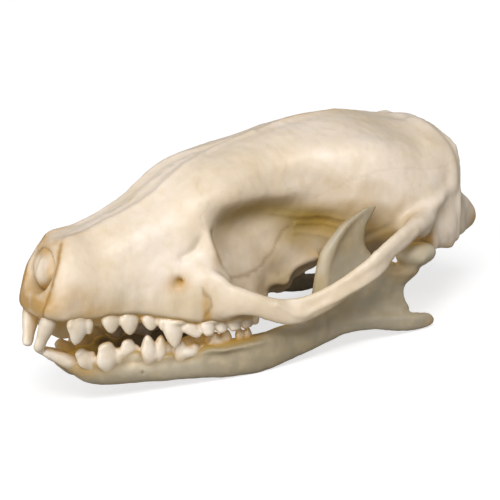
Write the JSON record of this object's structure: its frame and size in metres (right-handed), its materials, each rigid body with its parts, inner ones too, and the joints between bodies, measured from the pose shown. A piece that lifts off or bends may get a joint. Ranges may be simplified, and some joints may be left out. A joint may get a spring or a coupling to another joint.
{
  "type": "hedgehog skull",
  "caption": "Life-size hedgehog skull with its lower jaw in place, lying as it rests, for study or display",
  "frame": {"origin": "middle of the footprint, on the surface the skull lies on", "axes": "snout toward -Y, the animal's left side toward +X, top of the skull toward +Z"},
  "size_m": [0.0354, 0.0594, 0.0264],
  "materials": {
    "bone": "dry matt bone with a soft sheen",
    "jaw_bone": "dry matt bone with a soft sheen"
  },
  "bodies": {
    "root": {"cranium": "bone", "mandible_left": "jaw_bone", "mandible_right": "jaw_bone"}
  },
  "joints": []
}
